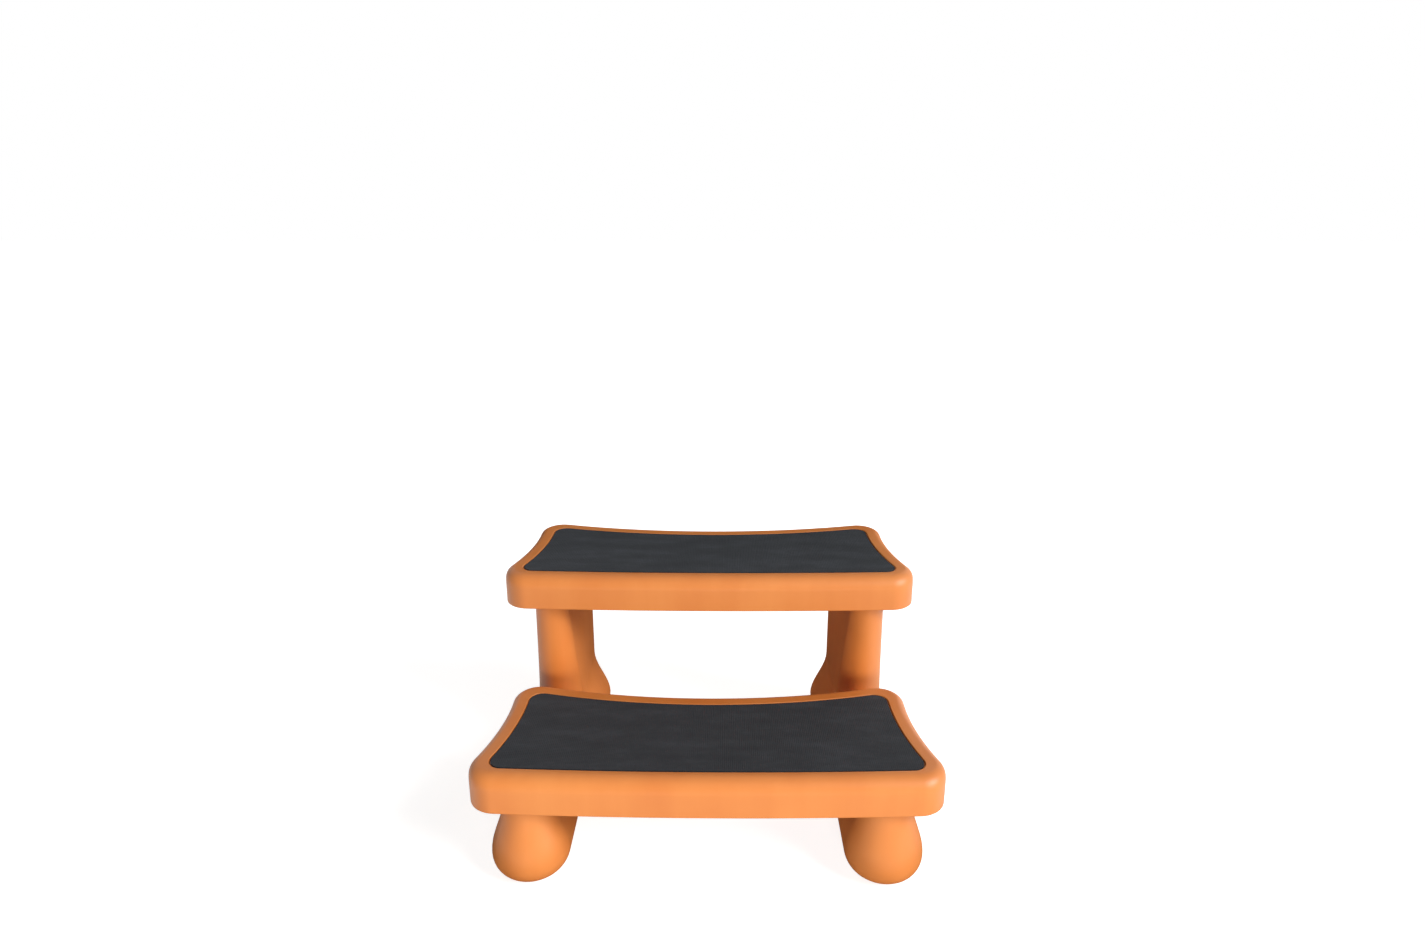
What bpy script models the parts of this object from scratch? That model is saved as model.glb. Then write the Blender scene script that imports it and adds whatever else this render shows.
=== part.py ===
import math

import bmesh
import bpy
from mathutils import Vector

for old in list(bpy.data.objects):
    bpy.data.objects.remove(old, do_unlink=True)

# Driving sizes, in metres. The front faces -Y and the floor is Z = 0.
LOWER_TOP = 0.199  # floor to the lower tread
RISE = 0.190  # lower tread to upper tread
TREAD_GAP = 0.024  # in plan, from the lower tread's back corners to the upper tread's front

# Plan outline of a tread, a chain of arcs.
WAIST_WIDTH = 0.672
TREAD_DEPTH = 0.245  # front to back on the centre line
WAIST_FROM_BACK = 0.024  # waist to the back, on the centre line
FRONT_RADIUS = 7.0  # the front bows out a little
FRONT_CORNER = 0.045
SIDE_RADIUS = 0.489  # the sides curve in
REAR_CORNER = 0.042
REAR_RADIUS = 1.159  # the back is hollow, to stand against a round wall

# Section of a tread.
TREAD_THICKNESS = 0.061
TOP_ROUND = 0.024
SKIRT_ROUND = 0.0015
TREAD_WALL = 0.004
RIM = 0.031  # tread edge to mat edge
MAT_THICKNESS = 0.0035
MAT_ROUND = 0.001
RIB_THICKNESS = 0.003
RIB_PITCH = 0.059  # from one cross rib to the next
RIB_MARGIN = 0.015  # no rib comes closer to a wall that it runs along
RIB_RECESS = 0.008  # the ribs end this far above the skirt's lower edge
COLLAR_RECESS = 0.004

# Legs: half-round ends, flat sides and a bulging foot.
LEG_THICKNESS = 0.081
LEG_INSET = 0.058  # waist of the tread to the leg's middle
LEG_SETBACK = 0.0225  # tread front to leg front
FRONT_LEG_DEPTH = 0.180
REAR_LEG_BACK = 0.0205  # the tread's back corners to the rear leg's back
LEG_WALL = 0.0045
FRONT_FOOT_BULGE = 0.021
REAR_FOOT_BULGE = 0.030
REAR_FOOT_BACK_BULGE = 0.0  # the back of a rear leg stays upright, as it stands against a wall
INNER_SLIM = 0.018  # taken off the front of a rear leg under its tread, on the inner side
OUTER_SLIM = 0.005  # the same on the outer side
FOOT_FLAT = -0.012  # growth of the flat under the foot, past the plain shaft
BULGE_HEIGHT = 0.037
FLARE_DROP = 0.0055  # the lower tread's underside to where the foot's flare has died out
FLARE_POWER = 1.2

PAD_THICKNESS = 0.0045
PAD_PROUD = 0.0015  # how far a pad stands out under its foot
PAD_INSET = 0.006  # edge of the foot's flat to the pad

# Side rails: channels, open below, that enter both legs of a side.
RAIL_WIDTH = 0.052
RAIL_HEIGHT = 0.064
RAIL_WALL = 0.004
RAIL_ROUND = 0.006
RAIL_END = 0.018  # screw to rail end
RAIL_SCREW_DROP = 0.026  # rail top to screw
RAIL_SCREW_SETIN = 0.0145  # start of a leg's flat side to the screw

SCREW_RADIUS = 0.003
SCREW_HEAD_RADIUS = 0.006
SCREW_HEAD_HEIGHT = 0.0035
SCREW_PROUD = 0.005  # how far a screw's tip comes through
SCREW_SPREAD = 0.45  # from one tread screw to the next, as a share of the leg's flat side
SPOT_FACE = 0.0005  # flat cut into the leg's skin for a rail screw's head

SEAT = 0.0003  # gap between pieces that rest on each other
SOCKET_PLAY = 0.0005  # gap round a leg in its socket
OVERCUT = 0.010  # how far a cutter runs past the face that it opens

# Steps along each curve.
FRONT_STEPS = 2
CORNER_STEPS = 6
SIDE_STEPS = 6
REAR_STEPS = 5
TOP_ROUND_STEPS = 5
CEILING_ROUND_STEPS = 3
MAT_ROUND_STEPS = 2
RAIL_ROUND_STEPS = 2
LEG_END_STEPS = 9
FOOT_STEPS = 4
FLARE_STEPS = 6
SLIM_STEPS = 4
REAR_FLAT_STEPS = 2  # along a rear leg's flat sides, which are bent a little
CAVITY_FOOT_STEPS = 3
CAVITY_FLARE_STEPS = 4
CAVITY_SLIM_STEPS = 3
BORE_STEPS = 14
SCREW_STEPS = 12

ORANGE = (0.73, 0.22, 0.055)
CHARCOAL = (0.040, 0.041, 0.044)
BLACK = (0.012, 0.012, 0.013)
STEEL = (0.55, 0.55, 0.54)

parts = bpy.data.collections.new("spa_steps")
cutters = bpy.data.collections.new("spa_steps_cutters")
bpy.context.scene.collection.children.link(parts)
bpy.context.scene.collection.children.link(cutters)


# Shared tools.


def add_object(name, bm, is_cutter=False):
    mesh = bpy.data.meshes.new(name)
    bmesh.ops.recalc_face_normals(bm, faces=bm.faces)
    bm.to_mesh(mesh)
    bm.free()
    obj = bpy.data.objects.new(name, mesh)
    if is_cutter:
        cutters.objects.link(obj)
        obj.hide_render = True
        obj.display_type = "WIRE"
    else:
        parts.objects.link(obj)
    return obj


def paint(obj, color, roughness, metallic=0.0):
    material = bpy.data.materials.new(obj.name + "_finish")
    material.use_nodes = True
    shader = material.node_tree.nodes["Principled BSDF"]
    shader.inputs["Base Color"].default_value = (*color, 1.0)
    shader.inputs["Roughness"].default_value = roughness
    shader.inputs["Metallic"].default_value = metallic
    obj.data.materials.append(material)


def smooth(obj, angle=math.radians(35)):
    obj.data.shade_smooth()
    obj.data.set_sharp_from_angle(angle=angle)


def prism(name, plan, low, high, is_cutter=False):
    bm = bmesh.new()
    face = bm.faces.new([bm.verts.new((p.x, p.y, low)) for p in plan])
    raised = bmesh.ops.extrude_face_region(bm, geom=[face])["geom"]
    moved = [item for item in raised if isinstance(item, bmesh.types.BMVert)]
    bmesh.ops.translate(bm, verts=moved, vec=(0, 0, high - low))
    return add_object(name, bm, is_cutter)


def loft(name, rings, is_cutter=False):
    bm = bmesh.new()
    rows = [[bm.verts.new(point) for point in ring] for ring in rings]
    for low, high in zip(rows, rows[1:]):
        for i in range(len(low)):
            bm.faces.new((low[i - 1], low[i], high[i], high[i - 1]))
    # A bent face is split along its shorter diagonal, which is the same one on the left and on the right.
    bmesh.ops.triangulate(bm, faces=bm.faces, quad_method="SHORT_EDGE")
    bm.faces.new(rows[0])
    bm.faces.new(rows[-1])
    return add_object(name, bm, is_cutter)


def box(name, low, high, is_cutter=False):
    bm = bmesh.new()
    size = Vector(high) - Vector(low)
    middle = (Vector(high) + Vector(low)) / 2
    made = bmesh.ops.create_cube(bm, size=1.0)
    bmesh.ops.scale(bm, verts=made["verts"], vec=size)
    bmesh.ops.translate(bm, verts=made["verts"], vec=middle)
    return add_object(name, bm, is_cutter)


def bore(name, start, end, radius):
    bm = bmesh.new()
    along = Vector(end) - Vector(start)
    turn = Vector((0, 0, 1)).rotation_difference(along).to_matrix().to_4x4()
    turn.translation = (Vector(start) + Vector(end)) / 2
    bmesh.ops.create_cone(
        bm,
        cap_ends=True,
        segments=BORE_STEPS,
        radius1=radius,
        radius2=radius,
        depth=along.length,
        matrix=turn,
    )
    return add_object(name, bm, is_cutter=True)


def cut(obj, cutter):
    modifier = obj.modifiers.new("cut_" + cutter.name, "BOOLEAN")
    modifier.operation = "DIFFERENCE"
    modifier.object = cutter


def bevel_rim(obj, height, width, segments):
    # Rounds only the edges that lie at one height.
    bm = bmesh.new()
    bm.from_mesh(obj.data)
    weight = bm.edges.layers.float.new("bevel_weight_edge")
    for edge in bm.edges:
        if all(abs(vert.co.z - height) < 1e-6 for vert in edge.verts):
            edge[weight] = 1.0
    bm.to_mesh(obj.data)
    bm.free()
    modifier = obj.modifiers.new("rim", "BEVEL")
    modifier.limit_method = "WEIGHT"
    modifier.width = width
    modifier.segments = segments
    modifier.use_clamp_overlap = False


def bevel_sharp(obj, width, segments=1):
    modifier = obj.modifiers.new("edges", "BEVEL")
    modifier.limit_method = "ANGLE"
    modifier.angle_limit = math.radians(60)
    modifier.width = width
    modifier.segments = segments


# Plan shapes.


def arc(centre, radius, start, end, count):
    first = math.atan2(start.y, start.x)
    sweep = (math.atan2(end.y, end.x) - first + math.pi) % math.tau - math.pi
    turns = [first + sweep * step / count for step in range(count + 1)]
    return [centre + radius * Vector((math.cos(turn), math.sin(turn))) for turn in turns]


def crossing(first, first_radius, second, second_radius):
    # Where two circles meet, to the right of the line from the first centre to the second.
    line = second - first
    along = (line.length_squared + first_radius**2 - second_radius**2) / (2 * line.length)
    aside = math.sqrt(first_radius**2 - along**2)
    ahead = line.normalized()
    across = Vector((-ahead.y, ahead.x))
    return first + along * ahead - aside * across


FRONT_CENTRE = Vector((0, FRONT_RADIUS))
SIDE_CENTRE = Vector((WAIST_WIDTH / 2 + SIDE_RADIUS, TREAD_DEPTH - WAIST_FROM_BACK))
REAR_CENTRE = Vector((0, TREAD_DEPTH + REAR_RADIUS))
FRONT_CORNER_CENTRE = crossing(
    FRONT_CENTRE, FRONT_RADIUS - FRONT_CORNER, SIDE_CENTRE, SIDE_RADIUS + FRONT_CORNER
)
REAR_CORNER_CENTRE = crossing(
    REAR_CENTRE, REAR_RADIUS + REAR_CORNER, SIDE_CENTRE, SIDE_RADIUS + REAR_CORNER
)


def tread_plan(inset, front):
    down = Vector((0, -1))
    to_front_corner = FRONT_CORNER_CENTRE - FRONT_CENTRE
    front_corner_to_side = SIDE_CENTRE - FRONT_CORNER_CENTRE
    rear_corner_to_side = SIDE_CENTRE - REAR_CORNER_CENTRE
    to_rear_corner = REAR_CORNER_CENTRE - REAR_CENTRE
    front_bow = arc(FRONT_CENTRE, FRONT_RADIUS - inset, down, to_front_corner, FRONT_STEPS)
    corner = FRONT_CORNER - inset
    front_turn = arc(FRONT_CORNER_CENTRE, corner, to_front_corner, front_corner_to_side, CORNER_STEPS)
    side = SIDE_RADIUS + inset
    side_curve = arc(SIDE_CENTRE, side, -front_corner_to_side, -rear_corner_to_side, SIDE_STEPS)
    corner = REAR_CORNER - inset
    rear_turn = arc(REAR_CORNER_CENTRE, corner, rear_corner_to_side, -to_rear_corner, CORNER_STEPS)
    rear_curve = arc(REAR_CENTRE, REAR_RADIUS + inset, to_rear_corner, down, REAR_STEPS)
    half = front_bow[:-1] + front_turn[:-1] + side_curve[:-1] + rear_turn[:-1] + rear_curve[:-1]
    rear_middle = Vector((0, TREAD_DEPTH - inset))
    mirrored = [Vector((-point.x, point.y)) for point in reversed(half[1:])]
    return [point + Vector((0, front)) for point in half + [rear_middle] + mirrored]


def leg_plan(middle_x, front, back, grow, back_grow, inner_slim=0.0, outer_slim=0.0, flat_steps=1):
    # Two half circles joined by flats, moved out all round but with a growth of its own at the back. The
    # front one may be slimmer, by its own amount on each side.
    radius = LEG_THICKNESS / 2 + grow
    back_change = back_grow - grow
    slim = (inner_slim + outer_slim) / 2
    front_x = middle_x + math.copysign((inner_slim - outer_slim) / 2, middle_x)
    front_centre = Vector((front_x, front + LEG_THICKNESS / 2 - slim))
    back_centre = Vector((middle_x, back - LEG_THICKNESS / 2))
    turns = [math.pi * step / LEG_END_STEPS for step in range(LEG_END_STEPS + 1)]
    front_end = [front_centre - (radius - slim) * Vector((math.cos(turn), math.sin(turn))) for turn in turns]
    back_end = []
    for turn in turns:
        reach = radius + back_change * math.sin(turn) ** 2
        back_end.append(back_centre + reach * Vector((math.cos(turn), math.sin(turn))))
    shares = [step / flat_steps for step in range(1, flat_steps)]
    right = [front_end[-1].lerp(back_end[0], share) for share in shares]
    left = [back_end[-1].lerp(front_end[0], share) for share in shares]
    return front_end + right + back_end + left


# Places worked out from the driving sizes.
TREAD_CORNER_DEPTH = REAR_CORNER_CENTRE.y + REAR_CORNER
RUN = TREAD_CORNER_DEPTH + TREAD_GAP
UPPER_TOP = LOWER_TOP + RISE
LOWER_FRONT = -(RUN + TREAD_CORNER_DEPTH) / 2
UPPER_FRONT = LOWER_FRONT + RUN
UNDERSIDE = LOWER_TOP - TREAD_THICKNESS
LEG_X = WAIST_WIDTH / 2 - LEG_INSET
SKIN = MAT_THICKNESS + SEAT + TREAD_WALL  # tread top to the ceiling under it
FLARE_TOP = UNDERSIDE - FLARE_DROP
SCREW_DROP = SKIN + (TREAD_THICKNESS - SKIN) / 2  # tread top to the screws
RAIL_TOP = UNDERSIDE - SEAT
REAR_LEG_DEPTH = TREAD_CORNER_DEPTH - LEG_SETBACK - REAR_LEG_BACK
FRONT_LEG_BACK = LOWER_FRONT + LEG_SETBACK + FRONT_LEG_DEPTH
REAR_LEG_FRONT = UPPER_FRONT + LEG_SETBACK
TREAD_SCREW_LENGTH = TREAD_WALL + SOCKET_PLAY + LEG_WALL + SCREW_PROUD
RAIL_SCREW_LENGTH = (LEG_THICKNESS - RAIL_WIDTH) / 2 - SPOT_FACE + RAIL_WALL + SCREW_PROUD


def screw_rows(leg_depth):
    # Behind the tread's front, about the middle of the leg's flat side.
    middle = LEG_SETBACK + leg_depth / 2
    spread = SCREW_SPREAD * (leg_depth - LEG_THICKNESS)
    return [middle - spread / 2, middle + spread / 2]


def rib_rows(leg_depth):
    # Long ribs, each midway between two screws or where the next screws would be.
    first, second = screw_rows(leg_depth)
    pitch = second - first
    middle = (first + second) / 2
    ahead = int((middle - RIB_MARGIN) / pitch)
    behind = int((TREAD_DEPTH - RIB_MARGIN - middle) / pitch)
    return [middle + step * pitch for step in range(-ahead, behind + 1)]


def rib_columns():
    clear = LEG_X - LEG_THICKNESS / 2 - TREAD_WALL - RIB_MARGIN
    count = int(clear / RIB_PITCH)
    return [step * RIB_PITCH for step in range(-count, count + 1)]


def foot_growth(z, bulge, wall, floor):
    # How far a leg's skin stands out from its plain shaft at one height.
    if z < BULGE_HEIGHT:
        share = min(1.0, (BULGE_HEIGHT - z) / (BULGE_HEIGHT - floor))
        return bulge - wall - (bulge - FOOT_FLAT) * (1 - math.sqrt(1 - share**2))
    share = min(1.0, (z - BULGE_HEIGHT) / (FLARE_TOP - BULGE_HEIGHT))
    return bulge * (0.5 + 0.5 * math.cos(math.pi * share)) ** FLARE_POWER - wall


def slim_share(z, shoulder):
    # How much of its slimming a leg's front has at one height. Above the shoulder it fills the socket.
    if shoulder <= UNDERSIDE or z > shoulder + SEAT:
        return 0.0
    return max(0.0, (z - UNDERSIDE) / (shoulder - UNDERSIDE))


def leg_heights(floor, shoulder, top, foot_steps, flare_steps, slim_steps):
    turns = [math.pi / 2 * step / foot_steps for step in range(foot_steps)]
    foot = [BULGE_HEIGHT - (BULGE_HEIGHT - floor) * math.cos(turn) for turn in turns]
    rise = (FLARE_TOP - BULGE_HEIGHT) / flare_steps
    flare = [BULGE_HEIGHT + rise * step for step in range(flare_steps + 1)]
    if shoulder <= UNDERSIDE:
        return foot + flare + [top]
    shares = [(step / slim_steps) ** 2 for step in range(slim_steps + 1)]
    shaft = [UNDERSIDE + (shoulder - UNDERSIDE) * share for share in shares]
    return foot + flare + shaft + [shoulder + COLLAR_RECESS, top]


def leg_body(name, leg, floor, top, wall, steps, is_cutter=False):
    rings = []
    shoulder = leg["shoulder"] + wall if leg["shoulder"] > UNDERSIDE else UNDERSIDE
    for z in leg_heights(floor, shoulder, top, *steps):
        grow = foot_growth(z, leg["bulge"], wall, floor)
        back_grow = foot_growth(z, leg["back_bulge"], wall, floor)
        share = slim_share(z, shoulder)
        slims = (INNER_SLIM * share, OUTER_SLIM * math.sqrt(share))
        ends = (leg["middle_x"], leg["front"], leg["back"])
        plan = leg_plan(*ends, grow, back_grow, *slims, leg["flat_steps"])
        rings.append([(point.x, point.y, z) for point in plan])
    return loft(name, rings, is_cutter)


# Treads and mats.


def make_tread(name, top, front, leg_depth):
    bottom = top - TREAD_THICKNESS
    tread = prism(name, tread_plan(0, front), bottom, top)
    bevel_rim(tread, top, TOP_ROUND, TOP_ROUND_STEPS)
    bevel_sharp(tread, SKIRT_ROUND)

    hollow = prism(name + "_hollow", tread_plan(TREAD_WALL, front), bottom - OVERCUT, top - SKIN, True)
    bevel_rim(hollow, top - SKIN, TOP_ROUND - TREAD_WALL, CEILING_ROUND_STEPS)
    rib_low = bottom + RIB_RECESS
    rib_high = top + OVERCUT
    for row, y in enumerate(rib_rows(leg_depth)):
        low = (-WAIST_WIDTH, front + y - RIB_THICKNESS / 2, rib_low)
        high = (WAIST_WIDTH, front + y + RIB_THICKNESS / 2, rib_high)
        cut(hollow, box(f"{name}_long_rib_{row}", low, high, True))
    for column, x in enumerate(rib_columns()):
        low = (x - RIB_THICKNESS / 2, front - OVERCUT, rib_low)
        high = (x + RIB_THICKNESS / 2, front + TREAD_CORNER_DEPTH + OVERCUT, rib_high)
        cut(hollow, box(f"{name}_cross_rib_{column}", low, high, True))

    leg_front = front + LEG_SETBACK
    leg_back = leg_front + leg_depth
    for side in (-1, 1):
        collar_grow = SOCKET_PLAY + TREAD_WALL
        collar_plan = leg_plan(side * LEG_X, leg_front, leg_back, collar_grow, collar_grow)
        collar = prism(f"{name}_collar_{side}", collar_plan, bottom + COLLAR_RECESS, rib_high, True)
        cut(hollow, collar)
    cut(tread, hollow)
    for side in (-1, 1):
        socket_plan = leg_plan(side * LEG_X, leg_front, leg_back, SOCKET_PLAY, SOCKET_PLAY)
        cut(tread, prism(f"{name}_socket_{side}", socket_plan, bottom - OVERCUT, top - SKIN, True))
        inner = side * (LEG_X - LEG_THICKNESS / 2)
        for row, y in enumerate(screw_rows(leg_depth)):
            start = (inner - side * (TREAD_WALL + OVERCUT), front + y, top - SCREW_DROP)
            end = (inner + side * TREAD_WALL, front + y, top - SCREW_DROP)
            cut(tread, bore(f"{name}_hole_{side}_{row}", start, end, SCREW_RADIUS + SEAT))

    recess_plan = tread_plan(RIM - SEAT, front)
    cut(tread, prism(name + "_recess", recess_plan, top - SKIN + TREAD_WALL, top + OVERCUT, True))
    smooth(tread)
    paint(tread, ORANGE, 0.45)


def make_mat(name, top, front):
    mat = prism(name, tread_plan(RIM, front), top - MAT_THICKNESS, top)
    bevel_rim(mat, top, MAT_ROUND, MAT_ROUND_STEPS)
    smooth(mat)
    paint(mat, CHARCOAL, 0.8)


# Legs, pads and rails.


def make_leg(name, leg, is_front):
    side = leg["side"]
    leg_top = leg["tread_top"] - SKIN - SEAT
    body = leg_body(name, leg, PAD_PROUD, leg_top, 0.0, (FOOT_STEPS, FLARE_STEPS, SLIM_STEPS))

    floor = PAD_THICKNESS + SEAT + LEG_WALL
    cavity_steps = (CAVITY_FOOT_STEPS, CAVITY_FLARE_STEPS, CAVITY_SLIM_STEPS)
    cut(body, leg_body(name + "_cavity", leg, floor, leg_top + OVERCUT, LEG_WALL, cavity_steps, True))
    pad_grow = FOOT_FLAT - PAD_INSET
    seat_grow = pad_grow + SEAT
    seat_plan = leg_plan(leg["middle_x"], leg["front"], leg["back"], seat_grow, seat_grow)
    cut(body, prism(name + "_pad_seat", seat_plan, -OVERCUT, PAD_THICKNESS + SEAT, True))
    cut(body, rail_body(name + "_slot", side, SEAT, True))

    inner = leg["middle_x"] - side * LEG_THICKNESS / 2
    screw_z = leg["tread_top"] - SCREW_DROP
    for row, y in enumerate(screw_rows(leg["back"] - leg["front"])):
        start = (inner - side * OVERCUT, leg["tread_front"] + y, screw_z)
        end = (inner + side * OVERCUT, leg["tread_front"] + y, screw_z)
        cut(body, bore(f"{name}_screw_hole_{row}", start, end, SCREW_RADIUS + SEAT))

    rail_screw = (rail_screw_y(is_front), RAIL_TOP - RAIL_SCREW_DROP)
    outside = (inner - side * OVERCUT, *rail_screw)
    spot_face = (inner + side * SPOT_FACE, *rail_screw)
    inside = (inner + side * OVERCUT, *rail_screw)
    cut(body, bore(name + "_spot_face", outside, spot_face, SCREW_HEAD_RADIUS + 2 * SEAT))
    cut(body, bore(name + "_rail_hole", outside, inside, SCREW_RADIUS + SEAT))
    smooth(body)
    paint(body, ORANGE, 0.45)

    pad_plan = leg_plan(leg["middle_x"], leg["front"], leg["back"], pad_grow, pad_grow)
    pad = prism(name + "_pad", pad_plan, 0.0, PAD_THICKNESS)
    smooth(pad)
    paint(pad, BLACK, 0.85)


def rail_screw_y(on_front_leg):
    setin = LEG_THICKNESS / 2 + RAIL_SCREW_SETIN
    return FRONT_LEG_BACK - setin if on_front_leg else REAR_LEG_FRONT + setin


def rail_body(name, side, grow, is_cutter=False):
    low = Vector((
        side * LEG_X - RAIL_WIDTH / 2 - grow,
        rail_screw_y(True) - RAIL_END - grow,
        RAIL_TOP - RAIL_HEIGHT - grow,
    ))
    high = Vector((
        side * LEG_X + RAIL_WIDTH / 2 + grow,
        rail_screw_y(False) + RAIL_END + grow,
        RAIL_TOP + grow,
    ))
    rail = box(name, low, high, is_cutter)
    bevel_sharp(rail, RAIL_ROUND, RAIL_ROUND_STEPS)
    return rail


def make_rail(name, side):
    rail = rail_body(name, side, 0.0)
    low = (
        side * LEG_X - RAIL_WIDTH / 2 + RAIL_WALL,
        rail_screw_y(True) - RAIL_END + RAIL_WALL,
        RAIL_TOP - RAIL_HEIGHT - OVERCUT,
    )
    high = (
        side * LEG_X + RAIL_WIDTH / 2 - RAIL_WALL,
        rail_screw_y(False) + RAIL_END - RAIL_WALL,
        RAIL_TOP - RAIL_WALL,
    )
    cut(rail, box(name + "_trough", low, high, True))
    inner = side * (LEG_X - RAIL_WIDTH / 2)
    screw_z = RAIL_TOP - RAIL_SCREW_DROP
    for on_front_leg in (True, False):
        start = (inner - side * OVERCUT, rail_screw_y(on_front_leg), screw_z)
        end = (inner + side * OVERCUT, rail_screw_y(on_front_leg), screw_z)
        cut(rail, bore(f"{name}_hole_{on_front_leg}", start, end, SCREW_RADIUS + SEAT))
    smooth(rail)
    paint(rail, ORANGE, 0.5)


# Screws.


def make_screw(name, seat, side, length):
    # Turned about Z with the head up, then laid along X with the tip pointing away from the middle.
    head = SCREW_HEAD_HEIGHT
    profile = (
        (0, head),
        (SCREW_HEAD_RADIUS * 0.7, head),
        (SCREW_HEAD_RADIUS, head * 0.4),
        (SCREW_HEAD_RADIUS, 0),
        (SCREW_RADIUS, 0),
        (SCREW_RADIUS, -length + SCREW_RADIUS),
        (0, -length),
    )
    bm = bmesh.new()
    points = [bm.verts.new((x, 0, z)) for x, z in profile]
    for first, second in zip(points, points[1:]):
        bm.edges.new((first, second))
    screw = add_object(name, bm)
    turned = screw.modifiers.new("turned", "SCREW")
    turned.steps = SCREW_STEPS
    turned.render_steps = SCREW_STEPS
    turned.use_merge_vertices = True
    turned.merge_threshold = 0.00001
    screw.location = seat
    screw.rotation_euler = (0, -side * math.pi / 2, 0)
    paint(screw, STEEL, 0.35, 1.0)


make_tread("lower_tread", LOWER_TOP, LOWER_FRONT, FRONT_LEG_DEPTH)
make_tread("upper_tread", UPPER_TOP, UPPER_FRONT, REAR_LEG_DEPTH)
make_mat("lower_mat", LOWER_TOP, LOWER_FRONT)
make_mat("upper_mat", UPPER_TOP, UPPER_FRONT)

for hand, side in (("left", -1), ("right", 1)):
    front_leg = {
        "side": side,
        "middle_x": side * LEG_X,
        "front": FRONT_LEG_BACK - FRONT_LEG_DEPTH,
        "back": FRONT_LEG_BACK,
        "bulge": FRONT_FOOT_BULGE,
        "back_bulge": FRONT_FOOT_BULGE,
        "shoulder": UNDERSIDE,
        "flat_steps": 1,
        "tread_top": LOWER_TOP,
        "tread_front": LOWER_FRONT,
    }
    rear_leg = {
        "side": side,
        "middle_x": side * LEG_X,
        "front": REAR_LEG_FRONT,
        "back": REAR_LEG_FRONT + REAR_LEG_DEPTH,
        "bulge": REAR_FOOT_BULGE,
        "back_bulge": REAR_FOOT_BACK_BULGE,
        "shoulder": UPPER_TOP - TREAD_THICKNESS,
        "flat_steps": REAR_FLAT_STEPS,
        "tread_top": UPPER_TOP,
        "tread_front": UPPER_FRONT,
    }
    make_leg(f"{hand}_front_leg", front_leg, True)
    make_leg(f"{hand}_rear_leg", rear_leg, False)
    make_rail(f"{hand}_side_rail", side)
    collar_face = side * (LEG_X - LEG_THICKNESS / 2 - SOCKET_PLAY - TREAD_WALL - SEAT)
    leg_face = side * (LEG_X - LEG_THICKNESS / 2 + SPOT_FACE - SEAT)
    for row, y in enumerate(screw_rows(FRONT_LEG_DEPTH), 1):
        lower_seat = (collar_face, LOWER_FRONT + y, LOWER_TOP - SCREW_DROP)
        make_screw(f"{hand}_lower_tread_screw_{row}", lower_seat, side, TREAD_SCREW_LENGTH)
    for row, y in enumerate(screw_rows(REAR_LEG_DEPTH), 1):
        upper_seat = (collar_face, UPPER_FRONT + y, UPPER_TOP - SCREW_DROP)
        make_screw(f"{hand}_upper_tread_screw_{row}", upper_seat, side, TREAD_SCREW_LENGTH)
    for place, on_front_leg in (("front", True), ("rear", False)):
        rail_seat = (leg_face, rail_screw_y(on_front_leg), RAIL_TOP - RAIL_SCREW_DROP)
        make_screw(f"{hand}_{place}_rail_screw", rail_seat, side, RAIL_SCREW_LENGTH)
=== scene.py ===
import math

import bmesh
import bpy
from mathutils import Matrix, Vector


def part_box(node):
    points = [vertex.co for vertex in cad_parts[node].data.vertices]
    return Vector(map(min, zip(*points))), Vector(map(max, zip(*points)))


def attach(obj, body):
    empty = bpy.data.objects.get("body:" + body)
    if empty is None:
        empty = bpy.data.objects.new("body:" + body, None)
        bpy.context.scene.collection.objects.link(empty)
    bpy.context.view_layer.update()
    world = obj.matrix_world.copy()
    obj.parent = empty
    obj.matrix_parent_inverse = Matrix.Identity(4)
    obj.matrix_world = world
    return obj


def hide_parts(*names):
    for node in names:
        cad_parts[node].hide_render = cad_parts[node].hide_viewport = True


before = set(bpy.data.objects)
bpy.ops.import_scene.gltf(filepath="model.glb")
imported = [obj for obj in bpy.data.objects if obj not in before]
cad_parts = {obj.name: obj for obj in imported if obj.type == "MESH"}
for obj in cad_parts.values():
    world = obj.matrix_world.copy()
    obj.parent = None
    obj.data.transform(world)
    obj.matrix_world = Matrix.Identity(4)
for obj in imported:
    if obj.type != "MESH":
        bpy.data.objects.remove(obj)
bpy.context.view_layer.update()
scene = bpy.context.scene
scene.view_settings.view_transform = "Standard"
print("frame loaded:", len(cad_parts), "nodes")

near = 1e-5  # two places this close, in metres, are the same
seat = 0.0003  # gap between pieces that rest on each other
overcut = 0.01  # how far a cutter runs past the face that it opens
beyond = 1.0  # past every edge of the part


# camera, lamps and floor

camera = {
    "lens": 22.737,
    "sensor": 36.0,
    "place": (0.0195, -1.4191, 1.0235),
    "tilt": 72.806,  # degrees, as the turn is
    "turn": 0.52,
}

bpy.ops.object.camera_add(
    location=camera["place"], rotation=(math.radians(camera["tilt"]), 0, math.radians(camera["turn"]))
)
cam = bpy.context.object
cam.data.sensor_width = camera["sensor"]
cam.data.lens = camera["lens"]
scene.camera = cam

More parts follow.
